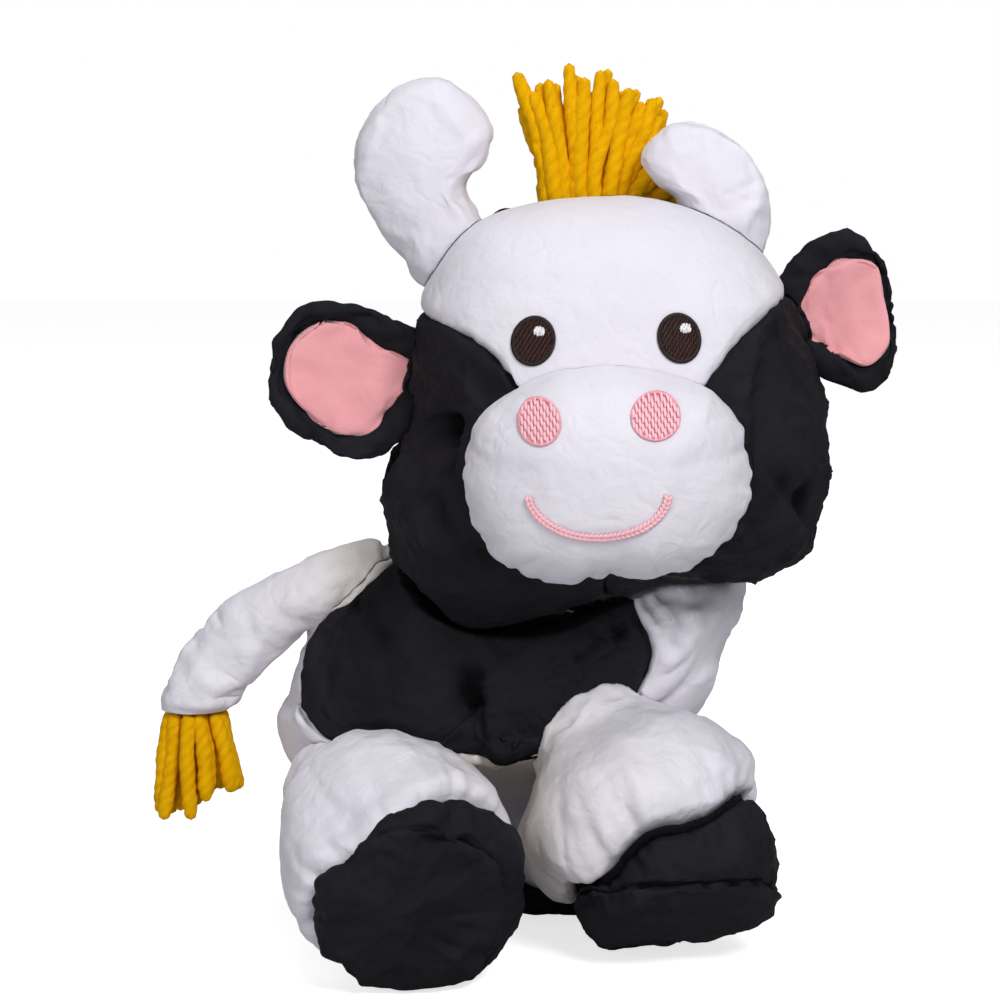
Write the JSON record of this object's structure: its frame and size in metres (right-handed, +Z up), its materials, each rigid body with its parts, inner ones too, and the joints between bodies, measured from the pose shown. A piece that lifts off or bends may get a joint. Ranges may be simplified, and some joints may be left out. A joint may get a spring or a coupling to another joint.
{
  "type": "stuffed toy cow",
  "caption": "Soft stuffed cow of thin puffy nylon, half lying with its near legs splayed and its head turned to the viewer, with padded horns, embroidered face, yarn forelock and tail tassel.",
  "frame": {"origin": "on the floor under the middle of the whole toy", "axes": "+Z up, the face, both near legs and the near side of the torso look towards -Y, the rump and the tail are at -X and the chest at +X, left and right in node names are as the viewer sees them"},
  "size_m": [0.2832, 0.206, 0.3286],
  "materials": {
    "white_nylon": "thin taffeta with a soft sheen and fine puckers along the seams",
    "black_nylon": "thin taffeta with a soft sheen",
    "ear_pink": "brushed cloth, matt",
    "thread_pink": "rayon embroidery thread, satin",
    "thread_brown": "rayon embroidery thread, satin",
    "thread_white": "rayon embroidery thread, satin",
    "yarn": "thick twisted yarn, matt, cut ends",
    "wadding": "loose polyester fibre"
  },
  "bodies": {
    "torso": {"torso_filling": "wadding", "torso_cover": "white_nylon", "side_patch_near": "black_nylon", "side_patch_far": "black_nylon"},
    "head": {"head_filling": "wadding", "face_panel": "white_nylon", "cheek_left": "black_nylon", "cheek_right": "black_nylon", "head_back": "black_nylon", "muzzle_filling": "wadding", "muzzle_cover": "white_nylon", "horn_left_filling": "wadding", "horn_left_cover": "white_nylon", "horn_right_filling": "wadding", "horn_right_cover": "white_nylon", "forelock": "yarn", "eye_left": "thread_brown", "eye_right": "thread_brown", "eye_light_left": "thread_white", "eye_light_right": "thread_white", "nostril_left": "thread_pink", "nostril_right": "thread_pink", "mouth_stitch": "thread_pink"},
    "ear_left": {"ear_left_back": "black_nylon", "ear_left_lining": "ear_pink"},
    "ear_right": {"ear_right_back": "black_nylon", "ear_right_lining": "ear_pink"},
    "tail": {"tail_filling": "wadding", "tail_cover": "white_nylon", "tail_tassel": "yarn"},
    "hind_near_leg": {"hind_near_leg_filling": "wadding", "hind_near_leg_sleeve": "white_nylon", "hind_near_hoof_upper": "black_nylon", "hind_near_hoof_sole": "black_nylon"},
    "fore_near_leg": {"fore_near_leg_filling": "wadding", "fore_near_leg_sleeve": "white_nylon", "fore_near_hoof_upper": "black_nylon", "fore_near_hoof_sole": "black_nylon"},
    "hind_far_leg": {"hind_far_leg_filling": "wadding", "hind_far_leg_sleeve": "white_nylon", "hind_far_hoof_upper": "black_nylon", "hind_far_hoof_sole": "black_nylon"},
    "fore_far_leg": {"fore_far_leg_filling": "wadding", "fore_far_leg_sleeve": "white_nylon", "fore_far_hoof_upper": "black_nylon", "fore_far_hoof_sole": "black_nylon"}
  },
  "joints": [
    {"name": "head_turn", "type": "hinge", "parent": "torso", "child": "head", "pos_m": [0.032, -0.002, 0.196], "axis": [0, 0, 1], "range_deg": [-20, 20], "stiffness_Nm_per_rad": 0.6},
    {"name": "ear_left_flap", "type": "hinge", "parent": "head", "child": "ear_left", "pos_m": [-0.041, 0.005, 0.214], "axis": [0, 0, 1], "range_deg": [-15, 15], "stiffness_Nm_per_rad": 0.03},
    {"name": "ear_right_flap", "type": "hinge", "parent": "head", "child": "ear_right", "pos_m": [0.104, 0.013, 0.234], "axis": [0, 0, 1], "range_deg": [-15, 15], "stiffness_Nm_per_rad": 0.03},
    {"name": "tail_swing", "type": "hinge", "parent": "torso", "child": "tail", "pos_m": [-0.061, 0.029, 0.134], "axis": [0, 1, 0], "range_deg": [-3, 20], "stiffness_Nm_per_rad": 0.12},
    {"name": "hind_near_leg_lift", "type": "hinge", "parent": "torso", "child": "hind_near_leg", "pos_m": [-0.065, 0.001, 0.053], "axis": [1, 0, 0], "range_deg": [-12, 6], "stiffness_Nm_per_rad": 1},
    {"name": "fore_near_leg_lift", "type": "hinge", "parent": "torso", "child": "fore_near_leg", "pos_m": [0.03, -0.006, 0.077], "axis": [1, 0, 0], "range_deg": [-12, 6], "stiffness_Nm_per_rad": 1},
    {"name": "hind_far_leg_lift", "type": "hinge", "parent": "torso", "child": "hind_far_leg", "pos_m": [-0.054, 0.062, 0.06], "axis": [1, 0, 0], "range_deg": [-4, 12], "stiffness_Nm_per_rad": 1},
    {"name": "fore_far_leg_lift", "type": "hinge", "parent": "torso", "child": "fore_far_leg", "pos_m": [0.034, 0.056, 0.061], "axis": [1, 0, 0], "range_deg": [-4, 12], "stiffness_Nm_per_rad": 1}
  ]
}
